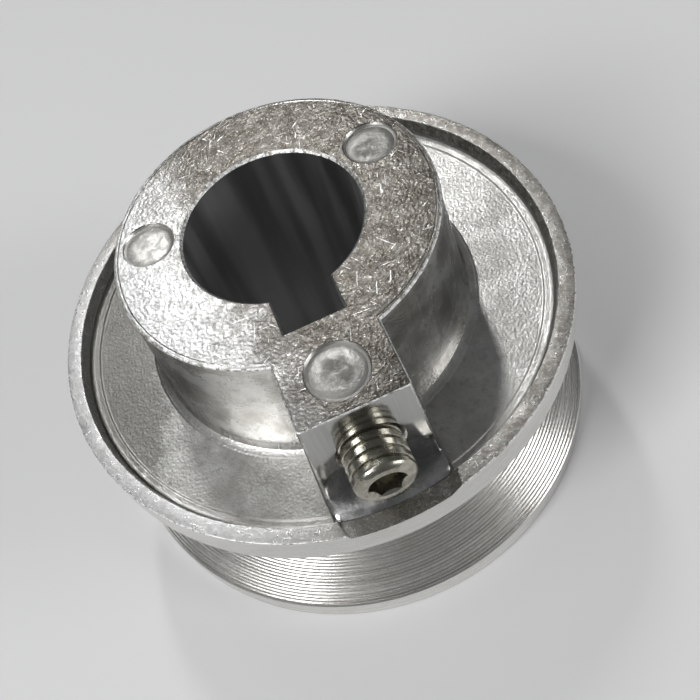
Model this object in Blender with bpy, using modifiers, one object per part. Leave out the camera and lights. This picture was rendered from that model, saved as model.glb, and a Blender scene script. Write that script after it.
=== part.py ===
"""V-belt pulley: a one-piece die-cast wheel with a long keyed hub, and the set screw in its boss.

Metres, +Z up. The origin is on the bore's axis, in the plane of the pulley's back face. The hub's
nose points to +Z, and the keyway, the boss and the set screw all point to -Y.
"""

from math import cos, pi, radians, sin, sqrt, tan

import bmesh
import bpy
from mathutils import Matrix, Vector

MM = 0.001

# Driving dimensions. The bore and its keyway set the scale of everything else.
BORE_RADIUS = 7.5 * MM
BORE_CHAMFER = 0.25 * MM
KEYWAY_WIDTH = 5.0 * MM
KEYWAY_FLOOR = 10.5 * MM  # from the axis

# Rim, with the groove for a 13 mm wide belt.
RIM_RADIUS = 22.8 * MM
RIM_TOP = 18.0 * MM
RIM_INNER_RADIUS = 21.45 * MM
EDGE = 0.12 * MM  # the small break on the rim's and the hub's edges
GROOVE_TOP = 14.85 * MM
GROOVE_BOTTOM = 2.35 * MM
GROOVE_ROOT_RADIUS = 13.3 * MM
FLANK_ANGLE = radians(17)
ROOT_FILLET = 0.6 * MM

# Dish in front of the web, and the recess in its back.
DISH_RADIUS = 21.1 * MM
DISH_FLOOR = 16.5 * MM
DISH_FLOOR_AT_HUB = 16.35 * MM
RECESS_RADIUS = 21.1 * MM
RECESS_RING_INNER = 21.35 * MM
RECESS_DEPTH_AT_RIM = 0.8 * MM
RECESS_DEPTH_AT_HUB = 2.2 * MM
BACK_HUB_RADIUS = 13.0 * MM
BACK_HUB_DRAFT = 0.25 * MM

# Hub.
HUB_TOP = 28.6 * MM
HUB_RADIUS = 13.5 * MM
HUB_LIP = 1.0 * MM
HUB_ROOT_RADIUS = 13.95 * MM
HUB_FILLET = 0.9 * MM

# Boss on the hub, and the flat platform in front of it.
BOSS_WIDTH = 8.85 * MM
BOSS_FRONT = 18.8 * MM
BOSS_BACK = 11.0 * MM
BOSS_CORNER = 0.3 * MM
PLATFORM_TOP = 17.75 * MM
PLATFORM_RADIUS = 20.95 * MM
PLATFORM_BACK = 17.0 * MM
WEB_MIDDLE = 15.6 * MM  # a height inside the web, where added shapes take root

# Flat notch across the rim's top, where the key for the set screw passes.
NOTCH_WIDTH = 8.4 * MM

# Shallow round marks in the hub's top face.
BOSS_MARK_RADIUS = 2.5 * MM
BOSS_MARK_CENTRE = 15.3 * MM
HUB_MARK_RADIUS = 2.25 * MM
HUB_MARK_CIRCLE = 10.5 * MM
HUB_MARK_ANGLES = (radians(19.3), radians(160.7))
MARK_DEPTH = 0.22 * MM

# Set screw, M5, in the middle of the boss.
SCREW_HEIGHT = 22.9 * MM
SCREW_RADIUS = 2.47 * MM
SCREW_HOLE_RADIUS = 2.53 * MM
SCREW_LENGTH = 10.0 * MM
SCREW_PROUD = 3.4 * MM
SCREW_END_RADIUS = 2.25 * MM
SCREW_CHAMFER = 0.35 * MM
SOCKET_ACROSS_FLATS = 2.5 * MM
SOCKET_DEPTH = 2.6 * MM
CUP_RADIUS = 1.25 * MM
CUP_DEPTH = 0.6 * MM

ROUND_STEPS = 96
SCREW_STEPS = 40
ARC_STEPS = 3


def clear_scene():
    for obj in list(bpy.data.objects):
        bpy.data.objects.remove(obj)


def make_collection(name):
    collection = bpy.data.collections.new(name)
    bpy.context.scene.collection.children.link(collection)
    return collection


def make_material(name, colour, roughness, metallic):
    material = bpy.data.materials.new(name)
    material.use_nodes = True
    shader = material.node_tree.nodes["Principled BSDF"]
    shader.inputs["Base Color"].default_value = (*colour, 1.0)
    shader.inputs["Roughness"].default_value = roughness
    shader.inputs["Metallic"].default_value = metallic
    return material


def arc(centre, radius, start, end):
    """Points of an arc in the profile's plane, from one angle to another, in degrees."""
    angles = [radians(start + (end - start) * i / ARC_STEPS) for i in range(ARC_STEPS + 1)]
    return [(centre[0] + radius * cos(a), centre[1] + radius * sin(a)) for a in angles]


def groove_profile():
    """The V groove, from the top flange's edge in to the root and out to the bottom flange's edge."""
    fall = (RIM_RADIUS - EDGE - GROOVE_ROOT_RADIUS) * tan(FLANK_ANGLE)
    inset = ROOT_FILLET * tan((pi / 2 - FLANK_ANGLE) / 2)
    along = (inset * cos(FLANK_ANGLE), inset * sin(FLANK_ANGLE))
    top = GROOVE_TOP - fall
    bottom = GROOVE_BOTTOM + fall
    return [
        (RIM_RADIUS, GROOVE_TOP + EDGE),
        (RIM_RADIUS - EDGE, GROOVE_TOP),
        (GROOVE_ROOT_RADIUS + along[0], top + along[1]),
        (GROOVE_ROOT_RADIUS, top - inset),
        (GROOVE_ROOT_RADIUS, bottom + inset),
        (GROOVE_ROOT_RADIUS + along[0], bottom - along[1]),
        (RIM_RADIUS - EDGE, GROOVE_BOTTOM),
        (RIM_RADIUS, GROOVE_BOTTOM - EDGE),
    ]


def front_profile():
    """The front side of the wheel, from the bore's mouth out over the hub and the dish to the rim."""
    fillet_centre = (HUB_ROOT_RADIUS + HUB_FILLET, DISH_FLOOR_AT_HUB + HUB_FILLET)
    return [
        (BORE_RADIUS, HUB_TOP - BORE_CHAMFER),
        (BORE_RADIUS + BORE_CHAMFER, HUB_TOP),
        (HUB_RADIUS - EDGE, HUB_TOP),
        (HUB_RADIUS, HUB_TOP - EDGE),
        (HUB_RADIUS, HUB_TOP - HUB_LIP),
        *arc(fillet_centre, HUB_FILLET, 180, 270),
        (DISH_RADIUS, DISH_FLOOR),
        (RIM_INNER_RADIUS, RIM_TOP),
        (RIM_RADIUS - EDGE, RIM_TOP),
        (RIM_RADIUS, RIM_TOP - EDGE),
    ]


def back_profile():
    """The back side, from the rim in over the ring-shaped recess to the bore."""
    return [
        (RIM_RADIUS, EDGE),
        (RIM_RADIUS - EDGE, 0.0),
        (RECESS_RING_INNER, 0.0),
        (RECESS_RADIUS, RECESS_DEPTH_AT_RIM),
        (BACK_HUB_RADIUS + BACK_HUB_DRAFT, RECESS_DEPTH_AT_HUB),
        (BACK_HUB_RADIUS, 0.0),
        (BORE_RADIUS + BORE_CHAMFER, 0.0),
        (BORE_RADIUS, BORE_CHAMFER),
    ]


def shade(obj):
    obj.data.shade_smooth()
    obj.data.set_sharp_from_angle(angle=radians(30))


def mesh_object(name, bm, collection, material=None):
    mesh = bpy.data.meshes.new(name)
    bm.to_mesh(mesh)
    bm.free()
    obj = bpy.data.objects.new(name, mesh)
    collection.objects.link(obj)
    if material:
        mesh.materials.append(material)
    return obj


def turned(name, profile, steps, collection, material=None):
    """A closed outline in the XZ plane turned about Z."""
    bm = bmesh.new()
    verts = [bm.verts.new((r, 0.0, z)) for r, z in profile]
    for first, second in zip(verts, verts[1:] + verts[:1]):
        bm.edges.new((first, second))
    obj = mesh_object(name, bm, collection, material)
    screw = obj.modifiers.new("Turn", "SCREW")
    screw.steps = steps
    screw.render_steps = steps
    screw.use_merge_vertices = True
    screw.merge_threshold = 1e-6
    return obj


def box(name, low, high, collection, bevel=0.0):
    low, high = Vector(low), Vector(high)
    bm = bmesh.new()
    bmesh.ops.create_cube(bm, size=1.0)
    bmesh.ops.scale(bm, vec=high - low, verts=bm.verts)
    bmesh.ops.translate(bm, vec=(low + high) / 2, verts=bm.verts)
    if bevel:
        upright = [e for e in bm.edges if abs(e.verts[0].co.z - e.verts[1].co.z) > bevel]
        bmesh.ops.bevel(bm, geom=upright, offset=bevel, segments=2, profile=0.5, affect="EDGES")
    return mesh_object(name, bm, collection)


def rod(name, radius, start, end, steps, collection):
    """A cylinder between two points."""
    start, end = Vector(start), Vector(end)
    bm = bmesh.new()
    bmesh.ops.create_cone(
        bm, cap_ends=True, segments=steps, radius1=radius, radius2=radius, depth=(end - start).length
    )
    obj = mesh_object(name, bm, collection)
    turn = (end - start).to_track_quat("Z", "Y").to_matrix().to_4x4()
    obj.matrix_world = Matrix.Translation((start + end) / 2) @ turn
    return obj


def combine(target, operation, tool):
    """Adds a Boolean with the exact solver, and keeps its tool out of the model."""
    tool.hide_render = True
    tool.display_type = "WIRE"
    modifier = target.modifiers.new(f"{operation.title()} {tool.name}", "BOOLEAN")
    modifier.operation = operation
    modifier.object = tool
    modifier.solver = "EXACT"


def add_boss(wheel, tools):
    half = BOSS_WIDTH / 2
    boss = box("boss", (-half, -BOSS_FRONT, WEB_MIDDLE), (half, -BOSS_BACK, HUB_TOP), tools, BOSS_CORNER)
    combine(wheel, "UNION", boss)
    platform = rod(
        "platform", PLATFORM_RADIUS, (0, 0, WEB_MIDDLE), (0, 0, PLATFORM_TOP), ROUND_STEPS, tools
    )
    reach = RIM_RADIUS + BOSS_CORNER
    trim = box("platform_sides", (-half, -reach, 0), (half, -PLATFORM_BACK, HUB_TOP), tools)
    combine(platform, "INTERSECT", trim)
    combine(wheel, "UNION", platform)


def cut_bore_details(wheel, tools):
    half = KEYWAY_WIDTH / 2
    past = RIM_TOP / 4
    keyway = box("keyway", (-half, -KEYWAY_FLOOR, -past), (half, 0, HUB_TOP + past), tools)
    combine(wheel, "DIFFERENCE", keyway)
    mouth = (0, -BOSS_FRONT - SCREW_PROUD, SCREW_HEIGHT)
    hole = rod("screw_hole", SCREW_HOLE_RADIUS, mouth, (0, -BORE_RADIUS, SCREW_HEIGHT), SCREW_STEPS, tools)
    combine(wheel, "DIFFERENCE", hole)


def cut_notch(wheel, tools):
    half = NOTCH_WIDTH / 2
    inner = sqrt(DISH_RADIUS**2 - half**2)
    notch = box("notch", (-half, -RIM_RADIUS - HUB_LIP, PLATFORM_TOP), (half, -inner, HUB_TOP), tools)
    combine(wheel, "DIFFERENCE", notch)


def cut_mark(wheel, name, centre, radius, tools):
    x, y = centre
    mark = rod(name, radius, (x, y, HUB_TOP - MARK_DEPTH), (x, y, HUB_TOP + HUB_LIP), SCREW_STEPS, tools)
    combine(wheel, "DIFFERENCE", mark)


def make_pulley(parts, tools):
    metal = make_material("cast_aluminium", (0.62, 0.62, 0.61), 0.38, 1.0)
    profile = front_profile() + groove_profile() + back_profile()
    wheel = turned("pulley_casting", profile, ROUND_STEPS, parts, metal)
    add_boss(wheel, tools)
    cut_bore_details(wheel, tools)
    cut_notch(wheel, tools)
    cut_mark(wheel, "boss_mark", (0, -BOSS_MARK_CENTRE), BOSS_MARK_RADIUS, tools)
    for number, angle in enumerate(HUB_MARK_ANGLES, start=1):
        centre = (HUB_MARK_CIRCLE * cos(angle), HUB_MARK_CIRCLE * sin(angle))
        cut_mark(wheel, f"hub_mark_{number}", centre, HUB_MARK_RADIUS, tools)
    shade(wheel)


def screw_profile():
    """Half of the set screw's section about its own axis, with the tip's cup at the bottom."""
    edge = SCREW_END_RADIUS
    return [
        (0.0, 0.0),
        (edge, 0.0),
        (SCREW_RADIUS, -SCREW_CHAMFER),
        (SCREW_RADIUS, SCREW_CHAMFER - SCREW_LENGTH),
        (CUP_RADIUS + SCREW_CHAMFER, -SCREW_LENGTH),
        (CUP_RADIUS, -SCREW_LENGTH),
        (0.0, CUP_DEPTH - SCREW_LENGTH),
    ]


def make_set_screw(parts, tools):
    """The screw's own Z runs out along its axis, and its origin is the middle of its outer end."""
    steel = make_material("nickel_plated_steel", (0.45, 0.43, 0.38), 0.3, 1.0)
    bm = bmesh.new()
    verts = [bm.verts.new((r, 0.0, z)) for r, z in screw_profile()]
    for first, second in zip(verts, verts[1:]):
        bm.edges.new((first, second))
    body = mesh_object("set_screw", bm, parts, steel)
    turn = body.modifiers.new("Turn", "SCREW")
    turn.steps = SCREW_STEPS
    turn.render_steps = SCREW_STEPS
    turn.use_merge_vertices = True
    turn.merge_threshold = 1e-6
    socket_radius = SOCKET_ACROSS_FLATS / sqrt(3)
    socket = rod("socket", socket_radius, (0, 0, -SOCKET_DEPTH), (0, 0, SCREW_CHAMFER), 6, tools)
    combine(body, "DIFFERENCE", socket)
    outward = Matrix.Rotation(radians(90), 4, "X")
    place = Matrix.Translation((0, -BOSS_FRONT - SCREW_PROUD, SCREW_HEIGHT)) @ outward
    socket.matrix_world = place @ socket.matrix_world
    body.matrix_world = place
    shade(body)


def main():
    clear_scene()
    parts = make_collection("v_belt_pulley")
    tools = make_collection("cutters")
    make_pulley(parts, tools)
    make_set_screw(parts, tools)


main()
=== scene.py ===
"""Looks of the V-belt pulley: a one-piece die-cast aluminium wheel and the set screw in its boss.

The origin is on the bore's axis, in the plane of the back face. The hub's nose points to +Z, and the
keyway, the boss and the set screw point to -Y.
"""

from math import acos, cos, floor, pi, radians, sin, sqrt, tan

import bmesh
import bpy
from mathutils import Matrix, Vector, noise


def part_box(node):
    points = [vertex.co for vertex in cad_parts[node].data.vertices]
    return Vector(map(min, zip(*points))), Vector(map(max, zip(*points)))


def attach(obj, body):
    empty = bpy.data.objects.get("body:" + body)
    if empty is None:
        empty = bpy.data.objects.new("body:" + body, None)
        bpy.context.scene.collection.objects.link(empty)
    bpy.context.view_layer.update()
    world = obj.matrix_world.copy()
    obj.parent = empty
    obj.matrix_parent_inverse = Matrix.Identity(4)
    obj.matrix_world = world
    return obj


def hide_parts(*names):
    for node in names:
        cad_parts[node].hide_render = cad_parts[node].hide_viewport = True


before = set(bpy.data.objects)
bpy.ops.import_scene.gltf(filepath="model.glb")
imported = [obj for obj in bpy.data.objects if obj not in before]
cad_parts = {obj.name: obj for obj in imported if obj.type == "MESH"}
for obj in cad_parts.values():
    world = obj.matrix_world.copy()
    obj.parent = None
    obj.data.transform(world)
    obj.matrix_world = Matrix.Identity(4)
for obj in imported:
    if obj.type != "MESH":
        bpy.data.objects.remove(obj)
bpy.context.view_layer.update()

MM = 0.001
_, WHEEL_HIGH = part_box("pulley_casting")
SCREW_LOW, SCREW_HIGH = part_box("set_screw")

# Wheel.
RIM_RADIUS = WHEEL_HIGH.x
HUB_TOP = WHEEL_HIGH.z
BORE_RADIUS = 7.5 * MM
BORE_CHAMFER = 0.22 * MM
RIM_TOP = 18.0 * MM
RIM_INNER_RADIUS = 21.45 * MM
RIM_EDGE = 0.1 * MM
GROOVE_TOP = 14.85 * MM
GROOVE_BOTTOM = 2.35 * MM
GROOVE_ROOT_RADIUS = 13.3 * MM
FLANK_ANGLE = radians(17)
RIDGE_PITCH = 0.28 * MM  # one turn of the lathe's feed, on the groove's flanks
RIDGE_HEIGHT = 0.045 * MM
GROOVE_ROOT_STEP = 0.35 * MM  # from the end of each flank's straight line to the root's flat middle
RIDGED_SHARE = 0.94  # of each flank, from the rim inwards
DISH_FLOOR = 16.4 * MM
DISH_STEP_RADIUS = 20.15 * MM
DISH_STEP_RISE = 0.09 * MM
DISH_RADIUS = 21.1 * MM
RECESS_AT_RIM = 0.8 * MM
RECESS_AT_HUB = 2.2 * MM
BACK_HUB_RADIUS = 13.0 * MM
HUB_RADIUS = 13.5 * MM
HUB_LIP = 1.0 * MM
HUB_LIP_STEP = 0.07 * MM
HUB_LINE_RADIUS = 13.05 * MM  # a fine line round the top face, inside its edge
HUB_LINE_DEPTH = 0.04 * MM
HUB_EDGE_BEGIN = 13.3 * MM  # outside this, a slanted face at the hub's top belongs to its worn edge
HUB_ROOT_RADIUS = 13.95 * MM
HUB_FILLET = 0.85 * MM
SKIRT_RADIUS = 14.7 * MM  # the hub's foot stands on a low step out to here
SKIRT_RISE = 0.09 * MM
STEPS = 320  # sides of every shape turned about the bore's axis

# Boss, platform and what is cut into them.
BOSS_HALF = 4.33 * MM
BOSS_DRAFT = 0.055  # each side spreads by this much of the way down
BOSS_FRONT = 18.8 * MM
BOSS_BACK = 11.0 * MM
BOSS_CORNER = 0.3 * MM
BOSS_EDGE = 0.17 * MM
FOOT_RADIUS = 0.4 * MM
PLATFORM_TOP = 17.75 * MM
PLATFORM_HALF = 4.95 * MM
PLATFORM_RADIUS = 21.3 * MM
PLATFORM_BEVEL = 0.42 * MM
PLATFORM_CORNER = 0.6 * MM
PLATFORM_EDGE = 0.28 * MM
PLATFORM_BACK = 17.0 * MM
WEB_MIDDLE = 15.6 * MM  # the boss and the platform begin inside the web, at this height
NOTCH_FLOOR = 17.42 * MM
NOTCH_HALF = 4.3 * MM
NOTCH_SLANT = 0.25 * MM  # the ends converge towards the outside by this much either way
NOTCH_LEFT_SLOPE, NOTCH_RIGHT_SLOPE = 0.5, 1.8  # run over rise of each end
KEYWAY_HALF = 2.5 * MM
KEYWAY_FLOOR = 10.5 * MM
KEYWAY_CHAMFER = 0.12 * MM
KEYWAY_CORNER = 0.12 * MM
CLEARANCE = 2 * MM  # how far a cutter runs on past the metal
SCREW_HEIGHT = (SCREW_LOW.z + SCREW_HIGH.z) / 2
SCREW_HOLE_RADIUS = 2.53 * MM
SCREW_SINK = 0.3 * MM

# Shallow marks of the mould's pins: centre, radius, tilt of the floor about X and Y.
PIN_CIRCLE = 10.5 * MM
PIN_ANGLE = radians(19.3)
PINS = (
    ("boss_pin", (0.0, -15.3 * MM), 2.5 * MM, (-0.5, 0.6)),
    ("right_pin", (PIN_CIRCLE * cos(PIN_ANGLE), PIN_CIRCLE * sin(PIN_ANGLE)), 2.25 * MM, (-2.4, 1.2)),
    ("left_pin", (-PIN_CIRCLE * cos(PIN_ANGLE), PIN_CIRCLE * sin(PIN_ANGLE)), 2.25 * MM, (-1.8, 1.6)),
)
PIN_DEPTH = 0.2 * MM

# Set screw, M5 x 0.8.
THREAD_PITCH = 0.8 * MM
THREAD_RADIUS = 2.46 * MM
THREAD_DEPTH = 0.26 * MM
THREAD_ROWS = 20  # to a turn
COLLAR_RADIUS = 2.45 * MM  # the plain ends, where the thread has run out
RUN_OUT = (0.35 * MM, 0.2 * MM)  # from each end to the thread, and the length in which it rises
END_STEP = 0.012 * MM  # the flat ring round the socket stands out by this much
END_RING = 0.06 * MM
SCREW_LENGTH = 9.988 * MM
SCREW_CHAMFER = 0.55 * MM
CHAMFER_RISE = 0.7  # fall in radius over the chamfer's length
SOCKET_HALF = 1.32 * MM
SOCKET_MOUTH = 1.57 * MM
SOCKET_DEPTH = 2.6 * MM
SOCKET_TAPER = 0.3 * MM
COUNTERSINK = 0.9  # depth over width
CUP_RADIUS = 1.25 * MM
CUP_DEPTH = 0.6 * MM
SCREW_STEPS = 72

# Camera: the photograph's viewpoint in the frame's own axes.
CAMERA_AT = Vector((0.26, -53.39, 86.79)) * MM
CAMERA_AZIMUTH = radians(6.031)
CAMERA_ELEVATION = radians(54.490)
CAMERA_ROLL = radians(-29.213)
CAMERA_LENS = 50.74
CAMERA_SHIFT = (0.114286, 0.014286)

# Soft lights: name, direction (azimuth, elevation) in degrees, width and height in metres, watts.
LIGHT_DISTANCE = 0.6
LIGHTS = (
    ("light_behind", (86, 51), (0.035, 0.14), 0.5),
    ("light_behind_low", (92, 40), (0.05, 0.1), 0.05),
    ("light_behind_left", (108, 54), (0.08, 0.14), 0.085),
    ("light_left", (210, 45), (0.22, 0.22), 1.75),
    ("light_left_high", (180, 70), (0.22, 0.22), 0.22),
    ("light_right", (330, 22), (0.22, 0.22), 1.0),
)
WORLD_COLOUR = (0.97, 1.0, 1.02, 1)
WORLD_STRENGTH = 0.14
FLOOR_COLOUR = (0.82, 0.82, 0.82, 1)
FLOOR_HALF = 3.0


# ---------------------------------------------------------------- shapes


def rounded(corners, steps=4):
    """A closed outline in which each corner (x, y, radius) is swapped for an arc."""
    points = []
    for i, (x, y, radius) in enumerate(corners):
        here = Vector((x, y))
        if not radius:
            points.append(here)
            continue
        before = (Vector(corners[i - 1][:2]) - here).normalized()
        after = (Vector(corners[(i + 1) % len(corners)][:2]) - here).normalized()
        half = acos(max(-1.0, min(1.0, before.dot(after)))) / 2
        centre = here + (before + after).normalized() * radius / sin(half)
        start = here + before * radius / tan(half) - centre
        end = here + after * radius / tan(half) - centre
        for k in range(steps + 1):
            way = start.lerp(end, 0.5 - 0.5 * cos(pi * k / steps))
            points.append(centre + way.normalized() * radius)
    return points


def new_object(name, bm):
    mesh = bpy.data.meshes.new(name)
    bm.to_mesh(mesh)
    bm.free()
    obj = bpy.data.objects.new(name, mesh)
    bpy.context.scene.collection.objects.link(obj)
    return obj


def ring(bm, radius, height, steps):
    return [
        bm.verts.new((radius * cos(2 * pi * i / steps), radius * sin(2 * pi * i / steps), height))
        for i in range(steps)
    ]


def bridge(bm, below, above):
    """Quads between two loops of the same length."""
    for i in range(len(below)):
        j = (i + 1) % len(below)
        bm.faces.new((below[i], below[j], above[j], above[i]))


def turned(name, profile, steps, closed=True):
    """A closed outline (r, z) turned about Z, or an open one that starts and ends on the axis."""
    bm = bmesh.new()
    loops = [ring(bm, r, z, steps) if r > 1e-9 else [bm.verts.new((0, 0, z))] for r, z in profile]
    pairs = zip(loops, loops[1:] + loops[:1]) if closed else zip(loops, loops[1:])
    for first, second in pairs:
        if len(first) == 1 or len(second) == 1:
            tip, loop = (first[0], second) if len(first) == 1 else (second[0], first)
            for i in range(steps):
                bm.faces.new((tip, loop[i], loop[(i + 1) % steps]))
        else:
            bridge(bm, first, second)
    bmesh.ops.recalc_face_normals(bm, faces=bm.faces)
    return new_object(name, bm)


def lofted(name, sections):
    """A solid through plan outlines of the same length, each (height, points), capped at both ends."""
    bm = bmesh.new()
    loops = [[bm.verts.new((x, y, z)) for x, y in points] for z, points in sections]
    for below, above in zip(loops, loops[1:]):
        bridge(bm, below, above)
    bm.faces.new(loops[0][::-1])
    bm.faces.new(loops[-1])
    bmesh.ops.recalc_face_normals(bm, faces=bm.faces)
    return new_object(name, bm)


def boolean(target, operation, tools):
    """Joins or cuts with all the tools at once, applies it and removes the tools."""
    group = bpy.data.collections.new("tools")
    for tool in tools:
        group.objects.link(tool)
    modifier = target.modifiers.new(operation, "BOOLEAN")
    modifier.operation = operation
    modifier.operand_type = "COLLECTION"
    modifier.collection = group
    modifier.solver = "EXACT"
    bake_modifiers(target)
    bpy.data.collections.remove(group)
    for tool in tools:
        bpy.data.objects.remove(tool)


def bake_modifiers(obj):
    graph = bpy.context.evaluated_depsgraph_get()
    mesh = bpy.data.meshes.new_from_object(obj.evaluated_get(graph))
    old = obj.data
    obj.modifiers.clear()
    obj.data = mesh
    bpy.data.meshes.remove(old)
    mesh.name = obj.name


# ---------------------------------------------------------------- casting


def flank_fall():
    return (RIM_RADIUS - RIM_EDGE - GROOVE_ROOT_RADIUS) * tan(FLANK_ANGLE)


def wheel_profile():
    """The wheel's section from the bore's mouth over the front, round the rim, and back along the rear."""
    fall = flank_fall()
    lip = HUB_TOP - HUB_LIP
    return rounded(
        (
            (BORE_RADIUS, HUB_TOP - BORE_CHAMFER, 0.06 * MM),
            (BORE_RADIUS + BORE_CHAMFER, HUB_TOP, 0.06 * MM),
            (HUB_LINE_RADIUS, HUB_TOP, 0.02 * MM),
            (HUB_LINE_RADIUS + 2 * HUB_LINE_DEPTH, HUB_TOP - HUB_LINE_DEPTH, 0),
            (HUB_LINE_RADIUS + 3 * HUB_LINE_DEPTH, HUB_TOP, 0.02 * MM),
            (HUB_RADIUS, HUB_TOP, 0.2 * MM),
            (HUB_RADIUS, lip, 0.04 * MM),
            (HUB_RADIUS - HUB_LIP_STEP, lip - HUB_LIP_STEP, 0.06 * MM),
            (HUB_ROOT_RADIUS, DISH_FLOOR + SKIRT_RISE, HUB_FILLET),
            (SKIRT_RADIUS, DISH_FLOOR + 0.8 * SKIRT_RISE, 0.08 * MM),
            (SKIRT_RADIUS + 0.22 * MM, DISH_FLOOR, 0.2 * MM),
            (DISH_STEP_RADIUS, DISH_FLOOR, 0.3 * MM),
            (DISH_STEP_RADIUS + 2 * DISH_STEP_RISE, DISH_FLOOR + DISH_STEP_RISE, 0.3 * MM),
            (DISH_RADIUS, DISH_FLOOR + DISH_STEP_RISE, 0.5 * MM),
            (RIM_INNER_RADIUS, RIM_TOP, RIM_EDGE),
            (RIM_RADIUS, RIM_TOP, RIM_EDGE),
            (RIM_RADIUS, GROOVE_TOP + RIM_EDGE, 0),
            (RIM_RADIUS - RIM_EDGE, GROOVE_TOP, 0),
            (GROOVE_ROOT_RADIUS, GROOVE_TOP - fall, 0.6 * MM),
            (GROOVE_ROOT_RADIUS, GROOVE_BOTTOM + fall, 0.6 * MM),
            (RIM_RADIUS - RIM_EDGE, GROOVE_BOTTOM, 0),
            (RIM_RADIUS, GROOVE_BOTTOM - RIM_EDGE, 0),
            (RIM_RADIUS, 0, RIM_EDGE),
            (RIM_INNER_RADIUS, 0, RIM_EDGE),
            (DISH_RADIUS, RECESS_AT_RIM, 0.25 * MM),
            (BACK_HUB_RADIUS + 0.25 * MM, RECESS_AT_HUB, 0.5 * MM),
            (BACK_HUB_RADIUS, 0, 0.15 * MM),
            (BORE_RADIUS + BORE_CHAMFER, 0, 0.06 * MM),
            (BORE_RADIUS, BORE_CHAMFER, 0.06 * MM),
        )
    )


def ridged(start, end, out):
    """Points along a cut flank: a sharp crest at each turn of the feed and a hollow between two crests."""
    start, end, out = Vector(start), Vector(end), Vector(out)
    count = round((end - start).length / RIDGE_PITCH)
    points = []
    for i in range(count):
        points.append(start.lerp(end, i / count))
        points.append(start.lerp(end, (i + 0.5) / count) - out * RIDGE_HEIGHT)
    points.append(end)
    return points


def plan_box(half, front, back, corner, grow):
    """The boss's plan outline, grown by a distance all round its front."""
    half, front, corner = half + grow, front + grow, max(corner + grow, 0.02 * MM)
    return rounded(((-half, -back, 0), (-half, -front, corner), (half, -front, corner), (half, -back, 0)))


def foot(height, floor_height):
    """How far a wall's concave foot stands out at a height."""
    left = FOOT_RADIUS - max(height - floor_height, 0.0)
    if left <= 0:
        return 0.0
    return FOOT_RADIUS - sqrt(max(FOOT_RADIUS**2 - left**2, 0.0))


def boss():
    """The block over the keyway: drafted sides, a concave foot and a small round along its top edges."""
    edge_heights = [HUB_TOP - BOSS_EDGE + BOSS_EDGE * sin(pi / 2 * k / 4) for k in range(5)]
    foot_heights = [DISH_FLOOR + FOOT_RADIUS * k / 6 for k in range(1, 7)]
    sections = []
    for height in [WEB_MIDDLE, *foot_heights, *edge_heights]:
        over = max(height - (HUB_TOP - BOSS_EDGE), 0.0)
        shrink = BOSS_EDGE - sqrt(max(BOSS_EDGE**2 - over**2, 0.0)) if over else 0.0
        grow = foot(max(height, foot_heights[0]), DISH_FLOOR) - shrink
        half = BOSS_HALF + BOSS_DRAFT * (HUB_TOP - height)
        sections.append((height, plan_box(half, BOSS_FRONT, BOSS_BACK, BOSS_CORNER, grow)))
    return lofted("boss", sections)


def platform_outline(half, radius, corner):
    """The platform's plan outline: straight sides and a round outer end that follows the rim."""
    reach = sqrt(radius**2 - half**2)
    start = acos(half / radius)
    count = 16
    arc = []
    for k in range(3, count - 2):  # the corners take up the first and last steps of the arc
        angle = start + (pi - 2 * start) * k / count
        arc.append((radius * cos(angle), -radius * sin(angle), 0))
    corners = [(half, -PLATFORM_BACK, 0), (half, -reach, corner)]
    corners += arc
    corners += [(-half, -reach, corner), (-half, -PLATFORM_BACK, 0)]
    return corners


def platform():
    """The ledge in front of the boss, from the dish's floor to just under the rim's top."""
    edge = PLATFORM_EDGE
    foot_heights = [DISH_FLOOR + FOOT_RADIUS * k / 5 for k in range(1, 6)]
    levels = [(WEB_MIDDLE, foot(foot_heights[0], DISH_FLOOR), PLATFORM_RADIUS + PLATFORM_BEVEL)]
    for height in foot_heights:
        spread = PLATFORM_BEVEL * min(1.0, max(0.0, (foot_heights[-1] - height) / (0.6 * FOOT_RADIUS)))
        levels.append((height, foot(height, DISH_FLOOR), PLATFORM_RADIUS + spread))
    levels += [
        (PLATFORM_TOP - 0.8 * PLATFORM_BEVEL, 0.0, PLATFORM_RADIUS - 0.03 * MM),
        (PLATFORM_TOP - edge, 0.0, PLATFORM_RADIUS - PLATFORM_BEVEL + edge),
        (PLATFORM_TOP - 0.3 * edge, -0.3 * edge, PLATFORM_RADIUS - PLATFORM_BEVEL + 0.1 * edge),
        (PLATFORM_TOP, -edge, PLATFORM_RADIUS - PLATFORM_BEVEL - 0.6 * edge),
    ]
    sections = []
    for height, grow, radius in levels:
        outline = platform_outline(PLATFORM_HALF + grow, radius, PLATFORM_CORNER)
        sections.append((height, rounded(outline)))
    return lofted("platform", sections)


def keyway():
    """The slot for the key, from below the back to above the hub, opening out in a chamfer at the top."""
    corner = KEYWAY_CORNER
    sections = []
    for height, grow in (
        (-CLEARANCE, 0.0),
        (HUB_TOP - KEYWAY_CHAMFER, 0.0),
        (HUB_TOP, KEYWAY_CHAMFER),
        (HUB_TOP + CLEARANCE, KEYWAY_CHAMFER + CLEARANCE),
    ):
        half, deep = KEYWAY_HALF + grow, KEYWAY_FLOOR + grow
        outline = ((-half, 0, 0), (-half, -deep, corner), (half, -deep, corner), (half, 0, 0))
        sections.append((height, rounded(outline)))
    return lofted("keyway", sections)


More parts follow.
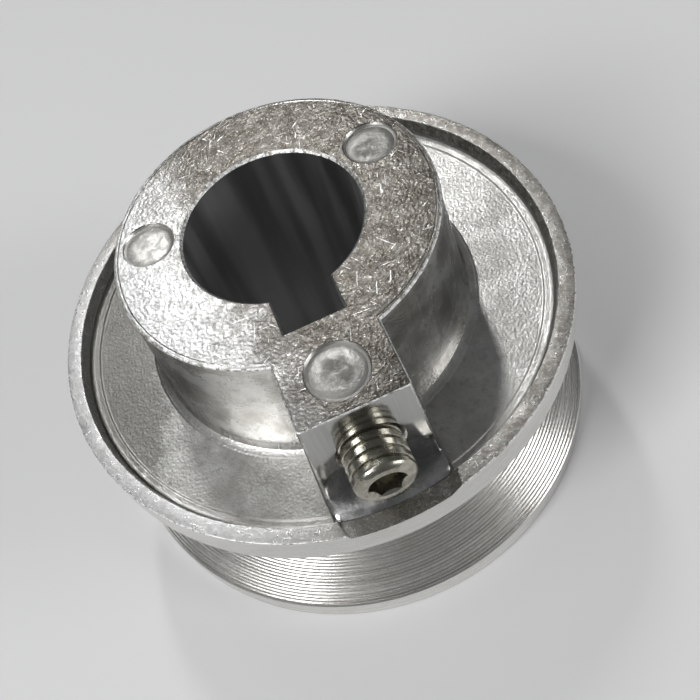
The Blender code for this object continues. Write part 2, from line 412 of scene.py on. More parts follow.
def screw_hole():
    """Along -Y from inside the bore, opening out where it leaves the boss."""
    length = BOSS_FRONT - BORE_RADIUS / 2
    hole = turned(
        "screw_hole",
        (
            (0, 0),
            (SCREW_HOLE_RADIUS, 0),
            (SCREW_HOLE_RADIUS, length - SCREW_SINK),
            (SCREW_HOLE_RADIUS + SCREW_SINK, length),
            (SCREW_HOLE_RADIUS + 2 * SCREW_SINK, length + SCREW_SINK),
            (0, length + SCREW_SINK),
        ),
        SCREW_STEPS,
        closed=False,
    )
    hole.data.transform(Matrix.Rotation(radians(90), 4, "X"))
    hole.data.transform(Matrix.Translation((0, -BORE_RADIUS / 2, SCREW_HEIGHT)))
    return hole


def notch():
    """A flat across the rim's top in front of the boss. Its ends are slanted, the one at +X far more."""
    inner, outer = DISH_RADIUS * 0.96, RIM_RADIUS * 1.03
    sections = []
    for height in (NOTCH_FLOOR, HUB_TOP):
        left = NOTCH_HALF + (height - NOTCH_FLOOR) * NOTCH_LEFT_SLOPE
        right = NOTCH_HALF - NOTCH_SLANT + (height - NOTCH_FLOOR) * NOTCH_RIGHT_SLOPE
        outline = [(-left - NOTCH_SLANT, -inner), (-left + NOTCH_SLANT, -outer)]
        sections.append((height, outline + [(right - NOTCH_SLANT, -outer), (right + NOTCH_SLANT, -inner)]))
    return lofted("notch", sections)


def pin(name, centre, radius, tilt):
    """A shallow mark with a ring at its edge and a slightly crowned floor."""
    mark = turned(
        name,
        (
            (0, -0.62 * PIN_DEPTH),
            (0.55 * radius, -0.72 * PIN_DEPTH),
            (0.8 * radius, -0.86 * PIN_DEPTH),
            (0.88 * radius, -1.15 * PIN_DEPTH),
            (0.96 * radius, -0.9 * PIN_DEPTH),
            (radius, -0.25 * PIN_DEPTH),
            (1.02 * radius, 0.05 * PIN_DEPTH),
            (1.04 * radius, 3 * PIN_DEPTH),
            (0, 3 * PIN_DEPTH),
        ),
        SCREW_STEPS,
        closed=False,
    )
    lean = Matrix.Rotation(radians(tilt[0]), 4, "X") @ Matrix.Rotation(radians(tilt[1]), 4, "Y")
    mark.data.transform(Matrix.Translation((*centre, HUB_TOP)) @ lean)
    return mark


def swap_groove(wheel):
    """Takes the plain groove's faces off the wheel and puts the ridged ones in their place."""
    fall = flank_fall()
    out = Vector((sin(FLANK_ANGLE), -cos(FLANK_ANGLE)))
    root = Vector((GROOVE_ROOT_RADIUS, GROOVE_TOP - fall))
    start = Vector((RIM_RADIUS - RIM_EDGE, GROOVE_TOP))
    top = ridged(start, start.lerp(root, RIDGED_SHARE), out)
    low_start = Vector((RIM_RADIUS - RIM_EDGE, GROOVE_BOTTOM))
    low_root = Vector((GROOVE_ROOT_RADIUS, GROOVE_BOTTOM + fall))
    low = ridged(low_start, low_start.lerp(low_root, RIDGED_SHARE), Vector((out.x, -out.y)))
    upper_root = root + Vector((0.0, -GROOVE_ROOT_STEP))
    lower_root = low_root + Vector((0.0, GROOVE_ROOT_STEP))
    profile = top + [upper_root, lower_root] + low[::-1]
    bm = bmesh.new()
    bm.from_mesh(wheel.data)
    inside = RIM_RADIUS - RIM_EDGE + 1e-6
    gone = []
    for face in bm.faces:
        spans = [(v.co.xy.length, v.co.z) for v in face.verts]
        if all(r < inside and GROOVE_BOTTOM - 1e-6 < z < GROOVE_TOP + 1e-6 for r, z in spans):
            if min(r for r, z in spans) > GROOVE_ROOT_RADIUS - 1e-6:
                gone.append(face)
    bmesh.ops.delete(bm, geom=gone, context="FACES")
    loops = [ring(bm, at.x, at.y, STEPS) for at in profile]
    for first, second in zip(loops, loops[1:]):
        bridge(bm, first, second)
    bmesh.ops.remove_doubles(bm, verts=bm.verts, dist=2e-7)
    bmesh.ops.recalc_face_normals(bm, faces=bm.faces)
    bm.to_mesh(wheel.data)
    bm.free()


def wear_edges(mesh):
    """Small dents and nicks pressed into the top edges of the rim and the hub."""
    for vert in mesh.vertices:
        x, y, z = vert.co
        radius = sqrt(x * x + y * y)
        at_rim = radius > RIM_INNER_RADIUS - RIM_EDGE and RIM_TOP - 1.2 * RIM_EDGE < z < RIM_TOP + RIM_EDGE
        at_hub = z > HUB_TOP - 0.14 * MM and abs(radius - HUB_RADIUS) < 0.16 * MM
        at_bore = z > HUB_TOP - 2 * BORE_CHAMFER and radius < BORE_RADIUS + 1.5 * BORE_CHAMFER
        if not (at_rim or at_hub or at_bore):
            continue
        place = vert.co / MM
        fine = noise.noise(place * 1.3)
        broad = noise.noise(place * 0.35 + Vector((7.0, 3.0, 1.0)))
        depth = (0.02 * max(fine, 0.0) + 0.09 * max(fine + broad - 0.62, 0.0)) * MM
        if at_bore:
            depth *= 0.5
        inward = Vector((-x, -y, 0)).normalized() * (-1 if at_bore else 1)
        vert.co += (inward * 0.5 + Vector((0, 0, -1))) * depth


def in_pin(at, share):
    """Whether a place lies over a pin's mark, within a share of the mark's radius."""
    return any((at.xy - Vector(centre)).length < share * radius for _, centre, radius, _ in PINS)


def zone_of(at, facing):
    """Which of the FINISHES a face of the casting has, from where it is and which way it faces."""
    radius = at.xy.length
    outward = at.xy.normalized().dot(facing.xy) if radius > 0 else 0.0
    in_front = abs(at.x) < PLATFORM_HALF and at.y < 0
    if radius > RIM_RADIUS - 0.04 * MM and outward > 0.9:
        return "turned"
    if GROOVE_BOTTOM - RIM_EDGE < at.z < GROOVE_TOP + RIM_EDGE and radius > GROOVE_ROOT_RADIUS - 0.1 * MM:
        return "turned"
    if at.z < RECESS_AT_HUB + 0.5 * MM and facing.z < -0.1:
        return "back"
    slanted = 0.25 < facing.z < 0.97
    at_edge = radius < BORE_RADIUS + 0.25 * MM or radius > HUB_EDGE_BEGIN
    if slanted and at_edge and at.z > HUB_TOP - BORE_CHAMFER - 0.03 * MM and not in_pin(at, 1.1):
        return "worn_edge"
    if slanted and RIM_TOP - RIM_EDGE - 0.02 * MM < at.z < RIM_TOP and radius > RIM_INNER_RADIUS - RIM_EDGE:
        return "worn_edge"
    if radius < BORE_RADIUS + 0.05 * MM and abs(facing.z) < 0.5:
        return "bored"
    if abs(at.x) < KEYWAY_HALF + 0.1 * MM and -KEYWAY_FLOOR - 0.1 * MM < at.y < 0 and abs(facing.z) < 0.5:
        return "bored"
    if at.z > HUB_TOP - 0.02 * MM:
        return "cast_face"
    clear_of_bore = radius > BORE_RADIUS + 0.3 * MM
    if at.z > HUB_TOP - 1.8 * PIN_DEPTH and facing.z > 0.5 and clear_of_bore and in_pin(at, 1.0):
        return "pin_floor"
    if in_front and at.y < -BOSS_FRONT + 0.1 * MM and at.z > PLATFORM_TOP - 0.02 * MM and facing.y < -0.9:
        return "boss_face"
    if in_front and at.y < -BOSS_FRONT and at.z > NOTCH_FLOOR + 0.02 * MM and radius < PLATFORM_RADIUS:
        return "ledge"
    if in_front and radius > PLATFORM_RADIUS and facing.z > 0.5:
        return "cast_rim"
    if radius > DISH_RADIUS - 0.1 * MM and at.z > DISH_FLOOR + 0.3 * MM:
        return "cast_rim"
    if at.z < RIM_TOP and radius > HUB_ROOT_RADIUS + 0.4 * MM and facing.z > 0.3:
        return "cast_dish"
    return "cast_wall"


def paint_zones(mesh):
    """Gives every face of the casting the finish of its zone."""
    slots = {zone: slot for slot, zone in enumerate(FINISHES)}
    mesh.materials.clear()
    for make in FINISHES.values():
        mesh.materials.append(make())
    for face in mesh.polygons:
        face.material_index = slots[zone_of(face.center, face.normal)]


def make_casting():
    wheel = turned("pulley_body", wheel_profile(), STEPS)
    boolean(wheel, "DIFFERENCE", [notch()])
    boolean(wheel, "UNION", [boss(), platform()])
    tools = [keyway(), screw_hole()]
    tools += [pin(*settings) for settings in PINS]
    boolean(wheel, "DIFFERENCE", tools)
    swap_groove(wheel)
    wear_edges(wheel.data)
    wheel.data.shade_smooth()
    wheel.data.set_sharp_from_angle(angle=radians(24))
    paint_zones(wheel.data)
    return wheel


# ---------------------------------------------------------------- set screw


def thread_radius(turns, along):
    """The radius at a place along the thread. The thread runs out into a plain collar at each end."""
    share = turns - floor(turns)
    rise = abs(share - 0.5) * 2  # 0 in the middle of the crest, 1 at the root
    depth = min(max((rise - 0.6) / 0.3, 0.0), 1.0)
    threaded = THREAD_RADIUS - THREAD_DEPTH * depth * depth * (3 - 2 * depth)
    end = min(along, SCREW_LENGTH - along)
    collar = COLLAR_RADIUS - max(SCREW_CHAMFER - end, 0.0) ** 2 / SCREW_CHAMFER * CHAMFER_RISE
    begun = min(max((end - RUN_OUT[0]) / RUN_OUT[1], 0.0), 1.0)
    return collar + (threaded - collar) * begun


def thread_rows(bm):
    """Rows of vertices that follow the helix, cut off square at both ends."""
    rows = []
    count = int(SCREW_LENGTH / THREAD_PITCH + 1) * THREAD_ROWS
    for k in range(-THREAD_ROWS, count + 1):
        row = []
        for i in range(SCREW_STEPS + 1):
            turn = i / SCREW_STEPS
            along = min(max((k / THREAD_ROWS + turn) * THREAD_PITCH, 0.0), SCREW_LENGTH)
            radius = thread_radius(k / THREAD_ROWS, along)
            angle = 2 * pi * turn
            row.append(bm.verts.new((radius * cos(angle), radius * sin(angle), -along)))
        rows.append(row)
    return rows


def socket_mouth(bm):
    """The loop where the socket's countersink meets its six flats, lower in the middle of each flat."""
    loop = []
    for i in range(SCREW_STEPS):
        angle = 2 * pi * i / SCREW_STEPS
        radius = hexagon(angle)
        depth = (SOCKET_MOUTH - radius) * COUNTERSINK
        loop.append(bm.verts.new((radius * cos(angle), radius * sin(angle), -depth)))
    return loop


def hexagon(angle):
    """How far a side of the socket is from its middle in a direction. It has corners on its own X."""
    return SOCKET_HALF / cos((angle % (pi / 3)) - pi / 6)


def make_grub_screw():
    """The screw stands along -Y, with the hex socket at its outer end."""
    bm = bmesh.new()
    rows = thread_rows(bm)
    for first, second in zip(rows, rows[1:]):
        for i in range(SCREW_STEPS):
            bm.faces.new((first[i], first[i + 1], second[i + 1], second[i]))
    edge = COLLAR_RADIUS - SCREW_CHAMFER * CHAMFER_RISE
    mouth = socket_mouth(bm)
    bridge(bm, end_loop(bm, edge, 0.0), end_loop(bm, edge - END_RING, END_STEP))
    bridge(bm, end_loop(bm, edge - END_RING, END_STEP), end_loop(bm, SOCKET_MOUTH, END_STEP))
    bridge(bm, end_loop(bm, SOCKET_MOUTH, END_STEP), mouth)
    floor_loop = end_hex(bm, -SOCKET_DEPTH + SOCKET_TAPER)
    bridge(bm, mouth, floor_loop)
    close_with_point(bm, floor_loop, -SOCKET_DEPTH)
    cup = end_loop(bm, CUP_RADIUS, -SCREW_LENGTH)
    bridge(bm, end_loop(bm, edge, -SCREW_LENGTH), cup)
    close_with_point(bm, cup, CUP_DEPTH - SCREW_LENGTH)
    bmesh.ops.remove_doubles(bm, verts=bm.verts, dist=1e-7)
    bmesh.ops.dissolve_degenerate(bm, dist=1e-8, edges=bm.edges)
    bmesh.ops.recalc_face_normals(bm, faces=bm.faces)
    screw = new_object("grub_screw", bm)
    screw.data.transform(Matrix.Rotation(radians(90), 4, "X"))
    screw.data.transform(Matrix.Translation((0, SCREW_LOW.y + END_STEP, SCREW_HEIGHT)))
    screw.data.shade_smooth()
    screw.data.set_sharp_from_angle(angle=radians(40))
    return screw


def end_loop(bm, radius, height):
    return ring(bm, radius, height, SCREW_STEPS)


def end_hex(bm, height):
    loop = []
    for i in range(SCREW_STEPS):
        angle = 2 * pi * i / SCREW_STEPS
        radius = hexagon(angle)
        loop.append(bm.verts.new((radius * cos(angle), radius * sin(angle), height)))
    return loop


def close_with_point(bm, loop, height):
    tip = bm.verts.new((0, 0, height))
    for i in range(len(loop)):
        bm.faces.new((tip, loop[i], loop[(i + 1) % len(loop)]))


# ---------------------------------------------------------------- materials


class Metal:
    """A metal under construction. Its nodes work on the object's own coordinates, in millimetres."""

    def __init__(self, name):
        self.material = bpy.data.materials.new(name)
        self.material.use_nodes = True
        self.tree = self.material.node_tree
        self.shader = self.tree.nodes["Principled BSDF"]
        self.shader.inputs["Metallic"].default_value = 1.0
        coords = self.tree.nodes.new("ShaderNodeTexCoord")
        self.place = coords.outputs["Object"]

    def node(self, kind, settings=None, **inputs):
        """A node with its settings and inputs. An input is a number, a colour or another node's output."""
        made = self.tree.nodes.new(kind)
        for key, value in (settings or {}).items():
            setattr(made, key, value)
        for key, value in inputs.items():
            self.plug(made.inputs[key.replace("_", " ")], value)
        return made

    def plug(self, socket, value):
        if isinstance(value, bpy.types.NodeSocket):
            self.tree.links.new(value, socket)
        else:
            socket.default_value = value

    def stretched(self, along=(1, 1, 1), turn=0.0, shift=(0, 0, 0)):
        """The place in millimetres, turned about Z, then stretched along each axis."""
        spin = self.node("ShaderNodeMapping", Vector=self.place, Rotation=(0, 0, turn))
        scale = tuple(a / MM for a in along)
        made = self.node("ShaderNodeMapping", Vector=spin.outputs[0], Scale=scale, Location=shift)
        return made.outputs[0]

    def noise(
        self, scale, detail=2.0, rough=0.5, along=(1, 1, 1), turn=0.0, shift=(0, 0, 0), warp=0.0
    ):
        """Noise with this many features a millimetre."""
        place = self.stretched(along, turn, shift)
        made = self.node(
            "ShaderNodeTexNoise", Vector=place, Scale=scale, Detail=detail, Roughness=rough, Distortion=warp
        )
        return made.outputs["Fac"]

    def cells(self, scale, along=(1, 1, 1)):
        made = self.node(
            "ShaderNodeTexVoronoi", {"feature": "SMOOTH_F1"}, Vector=self.stretched(along), Scale=scale
        )
        return made.outputs["Distance"]

    def spread(self, value, low, high, to_low=0.0, to_high=1.0):
        """The value between low and high, spread smoothly over another range."""
        made = self.node(
            "ShaderNodeMapRange",
            {"interpolation_type": "SMOOTHSTEP"},
            Value=value,
            From_Min=low,
            From_Max=high,
            To_Min=to_low,
            To_Max=to_high,
        )
        return made.outputs[0]

    def gradient(self, way, ragged, reach, low, high):
        """0 to 1 along a direction, between two distances in millimetres, with a ragged front."""
        along = self.node("ShaderNodeVectorMath", {"operation": "DOT_PRODUCT"})
        self.plug(along.inputs[0], self.place)
        self.plug(along.inputs[1], tuple(w / MM for w in way))
        shift = self.math("MULTIPLY", self.math("SUBTRACT", ragged, 0.5), reach)
        return self.spread(self.math("ADD", along.outputs["Value"], shift), low, high)

    def ring_about(self, x, y, ragged, inner, outer):
        """1 in a ring about an upright axis, and 0 in its middle and beyond it, all in millimetres."""
        flat = self.node(
            "ShaderNodeMapping", Vector=self.place, Scale=(1 / MM, 1 / MM, 0), Location=(-x, -y, 0)
        )
        length = self.node("ShaderNodeVectorMath", {"operation": "LENGTH"}, Vector=flat.outputs[0])
        shift = self.math("MULTIPLY", self.math("SUBTRACT", ragged, 0.5), 0.5)
        away = self.math("ADD", length.outputs["Value"], shift)
        beyond = self.spread(length.outputs["Value"], outer, outer + 0.3, 1.0, 0.0)
        return self.math("MULTIPLY", self.spread(away, inner - 0.5, inner + 0.5), beyond)

    def math(self, operation, first, second):
        made = self.tree.nodes.new("ShaderNodeMath")
        made.operation = operation
        self.plug(made.inputs[0], first)
        self.plug(made.inputs[1], second)
        return made.outputs[0]

    def mixed(self, share, first, second):
        """A colour between two, by a share."""
        made = self.tree.nodes.new("ShaderNodeMix")
        made.data_type = "RGBA"
        self.plug(made.inputs[0], share)
        self.plug(made.inputs[6], first if isinstance(first, bpy.types.NodeSocket) else (*first, 1))
        self.plug(made.inputs[7], second if isinstance(second, bpy.types.NodeSocket) else (*second, 1))
        return made.outputs[2]

    def scratches(self, turn, length, width, low, high, shift=(0, 0, 0)):
        """Short straight marks in one direction: 1 in a mark and 0 elsewhere."""
        lines = self.noise(1.0, 0.0, 0.5, (1 / length, 1 / width, 1 / length), turn, shift, 0.1)
        return self.spread(lines, low, high)

    def bump(self, height, depth, below=None):
        """A normal from a height of 0 to 1, with a depth in metres, on top of another normal."""
        made = self.node("ShaderNodeBump", Height=height, Distance=depth, Strength=1.0)
        if below is not None:
            self.tree.links.new(below, made.inputs["Normal"])
        return made.outputs[0]

    def finish(self, colour, roughness, normal=None):
        self.plug(self.shader.inputs["Base Color"], colour)
        self.plug(self.shader.inputs["Roughness"], roughness)
        if normal is not None:
            self.plug(self.shader.inputs["Normal"], normal)
        return self.material


SPECK = (0.2, 0.18, 0.15)
STAIN_AND_SHADE = (-11.5, -2.5)  # where the brown staining and the painted shade on the hub's +X side begin and are full, in millimetres
# Bright metal showing in scratches, and the colour of painted glints on specks of the skin.
BARE_CUT_AND_GLINT = (0.9, 0.9, 0.89)


def all_scratches(metal, low, high, length=2.0, width=0.13):
    """Marks in four directions, laid over one another."""
    total = None
    for turn, shift in ((0.1, (3, 1, 7)), (0.95, (11, 5, 2)), (1.9, (1, 9, 4)), (2.6, (6, 2, 13))):
        marks = metal.scratches(turn, length, width, low, high, shift)
        total = marks if total is None else metal.math("MAXIMUM", total, marks)
    return total


def cast_face():
    """The hub's top: grained die-cast skin, clean at -X and brown towards +X, where real brown staining is
    darkened further as painted shade; then scuffed, with bright specks painted in as glints.
    """
    metal = Metal("cast_face")
    mottle = metal.noise(1.3, 6.0, 0.7, warp=0.4)
    specks = metal.noise(6.0, 2.0, 0.6)
    # Painted shade with real brown staining: this gradient browns and darkens the +X side of the hub's top.
    darker_share = metal.gradient((1.0, 0.12, 0.0), metal.noise(0.35, 4.0, 0.65), 10.0, *STAIN_AND_SHADE)
    scuffed = metal.spread(metal.noise(0.2, 3.0, 0.6, shift=(2, 6, 0)), 0.44, 0.56)
    marks = metal.math("MULTIPLY", all_scratches(metal, 0.80, 0.815), scuffed)
    clean = metal.mixed(metal.spread(mottle, 0.36, 0.56), (0.62, 0.615, 0.60), (0.88, 0.88, 0.87))
    patches = metal.spread(metal.noise(0.7, 6.0, 0.65), 0.36, 0.66)
    # Very dark brown: a real brown tint, darkened further as painted shade.
    brown = metal.mixed(patches, (0.095, 0.085, 0.072), (0.19, 0.18, 0.162))
    skin = metal.mixed(darker_share, clean, brown)
    skin = metal.mixed(metal.spread(specks, 0.6, 0.7, 0.0, 0.75), skin, SPECK)
    fewer = metal.spread(darker_share, 0.0, 1.0, 1.0, 0.5)
    # Painted glints: some specks coloured bright, standing in for sparkles of light, fewer on the +X side.
    painted_glints = metal.math("MULTIPLY", metal.spread(specks, 0.40, 0.34, 0.0, 0.6), fewer)
    skin = metal.mixed(painted_glints, skin, BARE_CUT_AND_GLINT)
    skin = metal.mixed(metal.math("MULTIPLY", marks, 0.9), skin, BARE_CUT_AND_GLINT)
    rough = metal.spread(mottle, 0.38, 0.62, 0.42, 0.3)
    grain = metal.math("ADD", metal.noise(4.0, 1.5, 0.45), metal.math("MULTIPLY", metal.cells(3.6), 0.4))
    normal = metal.bump(grain, 0.042 * MM)
    normal = metal.bump(marks, 0.03 * MM, normal)
    return metal.finish(skin, rough, normal)


def cast_wall():
    """The drafted walls: smoother skin, dragged upright by the mould."""
    metal = Metal("cast_wall")
    streaks = metal.noise(1.0, 4.0, 0.6, (1.4, 1.4, 0.16))
    cloud = metal.noise(0.3, 4.0, 0.6)
    skin = metal.mixed(metal.spread(cloud, 0.35, 0.68), (0.34, 0.33, 0.31), (0.62, 0.62, 0.61))
    skin = metal.mixed(metal.spread(streaks, 0.5, 0.75, 0.0, 0.4), skin, (0.72, 0.72, 0.71))
    rough = metal.spread(cloud, 0.3, 0.7, 0.22, 0.3)
    normal = metal.bump(streaks, 0.018 * MM)
    normal = metal.bump(metal.noise(4.6, 2.0, 0.5), 0.045 * MM, normal)
    return metal.finish(skin, rough, normal)


def cast_dish():
    """The dish: fine glossy orange peel, stained in clouds, and darker towards -X."""
    metal = Metal("cast_dish")
    cloud = metal.noise(0.28, 5.0, 0.65, warp=0.4)
    darker_share = metal.noise(1.6, 4.0, 0.65)
    skin = metal.mixed(metal.spread(cloud, 0.3, 0.7), (0.44, 0.43, 0.41), (0.64, 0.635, 0.615))
    skin = metal.mixed(metal.spread(darker_share, 0.48, 0.72, 0.0, 0.5), skin, (0.28, 0.275, 0.27))
    # Darker towards -X and a little towards +Y, behind a ragged front.
    darker_to_minus_x = metal.gradient((-1.0, 0.35, 0.0), metal.noise(0.4, 5.0, 0.65, shift=(5, 1, 3)), 8.0, 11.5, 15.5)
    skin = metal.mixed(metal.math("MULTIPLY", darker_to_minus_x, 0.85), skin, (0.20, 0.195, 0.18))
    rough = metal.spread(cloud, 0.3, 0.7, 0.36, 0.28)
    peel = metal.math("ADD", metal.noise(4.8, 3.0, 0.55), metal.math("MULTIPLY", metal.cells(4.4), 0.35))
    normal = metal.bump(peel, 0.034 * MM)
    return metal.finish(skin, rough, normal)


def cast_rim():
    """The rim's top, the notch in it and its inner wall: worn skin, browner and darker towards +X, and
    bright specks painted in as glints.
    """
    metal = Metal("cast_rim")
    mottle = metal.noise(1.4, 5.0, 0.65)
    specks = metal.noise(4.5, 3.0, 0.7)
    # Browner and darker towards +X, behind a ragged front.
    darker_share = metal.gradient((1.0, 0.3, 0.0), mottle, 12.0, -20.0, -6.0)
    brown = metal.mixed(metal.spread(mottle, 0.36, 0.64), (0.27, 0.25, 0.22), (0.50, 0.485, 0.46))
    clean = metal.mixed(metal.spread(mottle, 0.36, 0.64), (0.66, 0.655, 0.64), (0.92, 0.92, 0.91))
    skin = metal.mixed(darker_share, clean, brown)
    # Painted glints: specks coloured bright, over real small bumps.
    skin = metal.mixed(metal.spread(specks, 0.55, 0.68, 0.0, 0.8), skin, BARE_CUT_AND_GLINT)
    rough = metal.spread(mottle, 0.35, 0.65, 0.38, 0.26)
    normal = metal.bump(mottle, 0.02 * MM)
    normal = metal.bump(specks, 0.03 * MM, normal)
    return metal.finish(skin, rough, normal)


def turned_metal():
    """Cut on a lathe: bright, with fine lines round it."""
    metal = Metal("turned")
    lines = metal.noise(1.0, 3.0, 0.7, (0.0, 0.0, 6.0))
    cloud = metal.noise(0.35, 4.0, 0.6)
    skin = metal.mixed(metal.spread(lines, 0.35, 0.65), (0.62, 0.61, 0.585), (0.85, 0.845, 0.83))
    skin = metal.mixed(metal.spread(cloud, 0.45, 0.7, 0.0, 0.5), skin, (0.64, 0.61, 0.56))
    rough = metal.spread(lines, 0.3, 0.7, 0.2, 0.32)
    normal = metal.bump(lines, 0.004 * MM)
    normal = metal.bump(metal.noise(3.0, 2.0, 0.5), 0.008 * MM, normal)
    return metal.finish(skin, rough, normal)


def bored_metal():
    """The bore: reamed smooth, with lines round it and rub marks along it."""
    metal = Metal("bored")
    lines = metal.noise(1.0, 3.0, 0.6, (0.0, 0.0, 5.0))
    rubs = metal.noise(1.0, 2.0, 0.5, (0.4, 0.4, 0.03))
    skin = metal.mixed(metal.spread(rubs, 0.35, 0.65), (0.42, 0.425, 0.42), (0.66, 0.665, 0.655))
    rough = metal.spread(rubs, 0.3, 0.7, 0.34, 0.46)
    normal = metal.bump(lines, 0.006 * MM)
    normal = metal.bump(rubs, 0.02 * MM, normal)
    return metal.finish(skin, rough, normal)


def boss_face():
    """The boss's front, milled flat and almost a mirror; its colour is darkened as a painted dark
    reflection.
    """
    metal = Metal("boss_face")
    lines = metal.noise(1.0, 3.0, 0.6, (5.0, 1.0, 0.1))
    wave = metal.noise(0.5, 2.0, 0.5)
    # Painted reflection: the dark colour stands in for the dark surroundings this mirror-flat face
    # reflects.
    skin = metal.mixed(metal.spread(lines, 0.3, 0.7), (0.40, 0.40, 0.39), (0.46, 0.46, 0.45))
    normal = metal.bump(wave, 0.02 * MM)
    normal = metal.bump(lines, 0.003 * MM, normal)
    return metal.finish(skin, metal.spread(lines, 0.3, 0.7, 0.1, 0.15), normal)


def ledge():
    """The ledge under the set screw: smooth satin skin."""
    metal = Metal("ledge")
    cloud = metal.noise(0.6, 4.0, 0.6)
    skin = metal.mixed(metal.spread(cloud, 0.35, 0.65), (0.36, 0.36, 0.36), (0.50, 0.50, 0.49))
    normal = metal.bump(metal.noise(2.2, 2.0, 0.5), 0.02 * MM)
    return metal.finish(skin, metal.spread(cloud, 0.3, 0.7, 0.2, 0.3), normal)


def worn_edge():
    """The cast edges: worn down to bright metal, nicked and broken."""
    metal = Metal("worn_edge")
    nicks = metal.noise(2.6, 4.0, 0.7)
    skin = metal.mixed(metal.spread(nicks, 0.40, 0.54), (0.36, 0.34, 0.30), (0.97, 0.97, 0.96))
    normal = metal.bump(nicks, 0.12 * MM)
    return metal.finish(skin, metal.spread(nicks, 0.35, 0.6, 0.5, 0.38), normal)


def pin_floor():
    """The floors of the pins' marks: smoother than the skin round them, darker in the middle, and brown and
    darker towards +X, where real brown staining is darkened further as painted shade, as on the hub's top.
    """
    metal = Metal("pin_floor")
    cloud = metal.noise(1.2, 5.0, 0.65, warp=0.5)
    # Painted shade with real brown staining, as on the hub's top: the +X side is browned and darkened.
    darker_share = metal.gradient((1.0, 0.2, 0.0), cloud, 4.0, *STAIN_AND_SHADE)
    clean = metal.mixed(metal.spread(cloud, 0.38, 0.62), (0.52, 0.515, 0.49), (0.84, 0.83, 0.79))
    brown = metal.mixed(metal.spread(cloud, 0.34, 0.66), (0.14, 0.135, 0.125), (0.24, 0.235, 0.22))
    boss_ring = metal.ring_about(0.0, -15.3, cloud, 1.35, 2.6)
    right_ring = metal.ring_about(9.4, 3.0, cloud, 1.1, 3.0)
    rings = metal.math("MAXIMUM", boss_ring, right_ring)
    brown = metal.mixed(metal.math("MULTIPLY", rings, 0.8), brown, (0.46, 0.45, 0.43))
    skin = metal.mixed(darker_share, clean, brown)
    normal = metal.bump(metal.noise(2.6, 4.0, 0.6), 0.035 * MM)
    return metal.finish(skin, metal.spread(cloud, 0.35, 0.65, 0.46, 0.34), normal)


def back():
    """The rear: plain die-cast skin."""
    metal = Metal("back_skin")
    mottle = metal.noise(0.6, 6.0, 0.65)
    skin = metal.mixed(metal.spread(mottle, 0.38, 0.62), (0.48, 0.475, 0.455), (0.68, 0.675, 0.66))
    normal = metal.bump(mottle, 0.05 * MM)
    normal = metal.bump(metal.noise(3.6, 2.0, 0.5), 0.07 * MM, normal)
    return metal.finish(skin, metal.spread(mottle, 0.35, 0.65, 0.38, 0.26), normal)


# The finish of each zone of the casting, in the order of its material slots.
FINISHES = {
    "cast_face": cast_face,
    "cast_wall": cast_wall,
    "cast_dish": cast_dish,
    "cast_rim": cast_rim,
    "turned": turned_metal,
    "bored": bored_metal,
    "boss_face": boss_face,
    "ledge": ledge,
    "pin_floor": pin_floor,
    "worn_edge": worn_edge,
    "back": back,
}


def screw_steel():
    """Nickel-plated steel, a little warm."""
    metal = Metal("nickel_plate")
    cloud = metal.noise(0.9, 5.0, 0.65)
    skin = metal.mixed(metal.spread(cloud, 0.35, 0.65), (0.30, 0.285, 0.235), (0.54, 0.52, 0.45))
    normal = metal.bump(metal.noise(3.0, 3.0, 0.6), 0.02 * MM)
    return metal.finish(skin, metal.spread(cloud, 0.3, 0.7, 0.3, 0.2), normal)


# ---------------------------------------------------------------- camera, light, floor


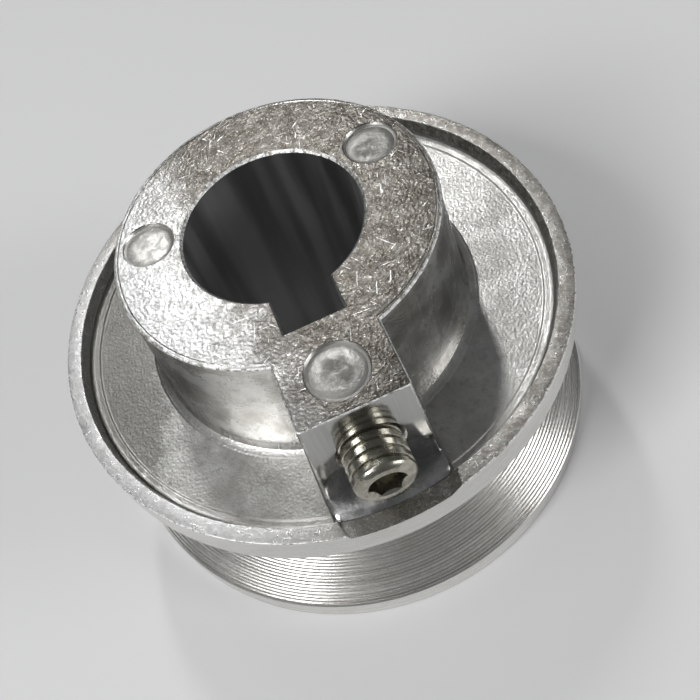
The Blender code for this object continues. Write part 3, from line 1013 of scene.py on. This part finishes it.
def make_camera():
    az, el, roll = CAMERA_AZIMUTH, CAMERA_ELEVATION, CAMERA_ROLL
    back = Vector((sin(az) * cos(el), -cos(az) * cos(el), sin(el)))
    right = (-back).cross(Vector((0, 0, 1))).normalized()
    up = right.cross(-back)
    turned_right = right * cos(roll) + up * sin(roll)
    turned_up = up * cos(roll) - right * sin(roll)
    camera = bpy.data.cameras.new("camera")
    camera.lens = CAMERA_LENS
    camera.sensor_width = 36
    camera.shift_x, camera.shift_y = CAMERA_SHIFT
    camera.clip_start = 0.005
    camera.clip_end = 20
    obj = bpy.data.objects.new("camera", camera)
    turn = Matrix((turned_right, turned_up, back)).transposed().to_4x4()
    obj.matrix_world = Matrix.Translation(CAMERA_AT) @ turn
    bpy.context.scene.collection.objects.link(obj)
    bpy.context.scene.camera = obj


def area_light(name, direction, size, power):
    """A soft rectangle of light, facing the middle of the pulley from a direction (azimuth, elevation)."""
    azimuth, elevation = (radians(a) for a in direction)
    way = Vector((cos(azimuth) * cos(elevation), sin(azimuth) * cos(elevation), sin(elevation)))
    light = bpy.data.lights.new(name, "AREA")
    light.shape = "RECTANGLE"
    light.size, light.size_y = size
    light.energy = power
    obj = bpy.data.objects.new(name, light)
    turn = way.to_track_quat("Z", "Y").to_matrix().to_4x4()
    obj.matrix_world = Matrix.Translation(way * LIGHT_DISTANCE) @ turn
    bpy.context.scene.collection.objects.link(obj)


def make_world():
    world = bpy.data.worlds.new("studio")
    bpy.context.scene.world = world
    world.use_nodes = True
    world.node_tree.nodes["Background"].inputs["Color"].default_value = WORLD_COLOUR
    world.node_tree.nodes["Background"].inputs["Strength"].default_value = WORLD_STRENGTH


def make_floor():
    bm = bmesh.new()
    bmesh.ops.create_grid(bm, x_segments=1, y_segments=1, size=FLOOR_HALF)
    floor_piece = new_object("floor", bm)
    material = bpy.data.materials.new("floor_paper")
    material.use_nodes = True
    shader = material.node_tree.nodes["Principled BSDF"]
    shader.inputs["Base Color"].default_value = FLOOR_COLOUR
    shader.inputs["Roughness"].default_value = 0.9
    floor_piece.data.materials.append(material)


def set_look():
    """Plain display of the light, so that bright metal clips to white as in a snapshot."""
    bpy.context.scene.view_settings.view_transform = "Standard"


def main():
    casting = make_casting()
    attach(casting, "pulley")
    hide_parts("pulley_casting")
    screw = make_grub_screw()
    screw.data.materials.append(screw_steel())
    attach(screw, "screw")
    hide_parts("set_screw")
    make_floor()
    make_world()
    for light in LIGHTS:
        area_light(*light)
    make_camera()
    set_look()


main()
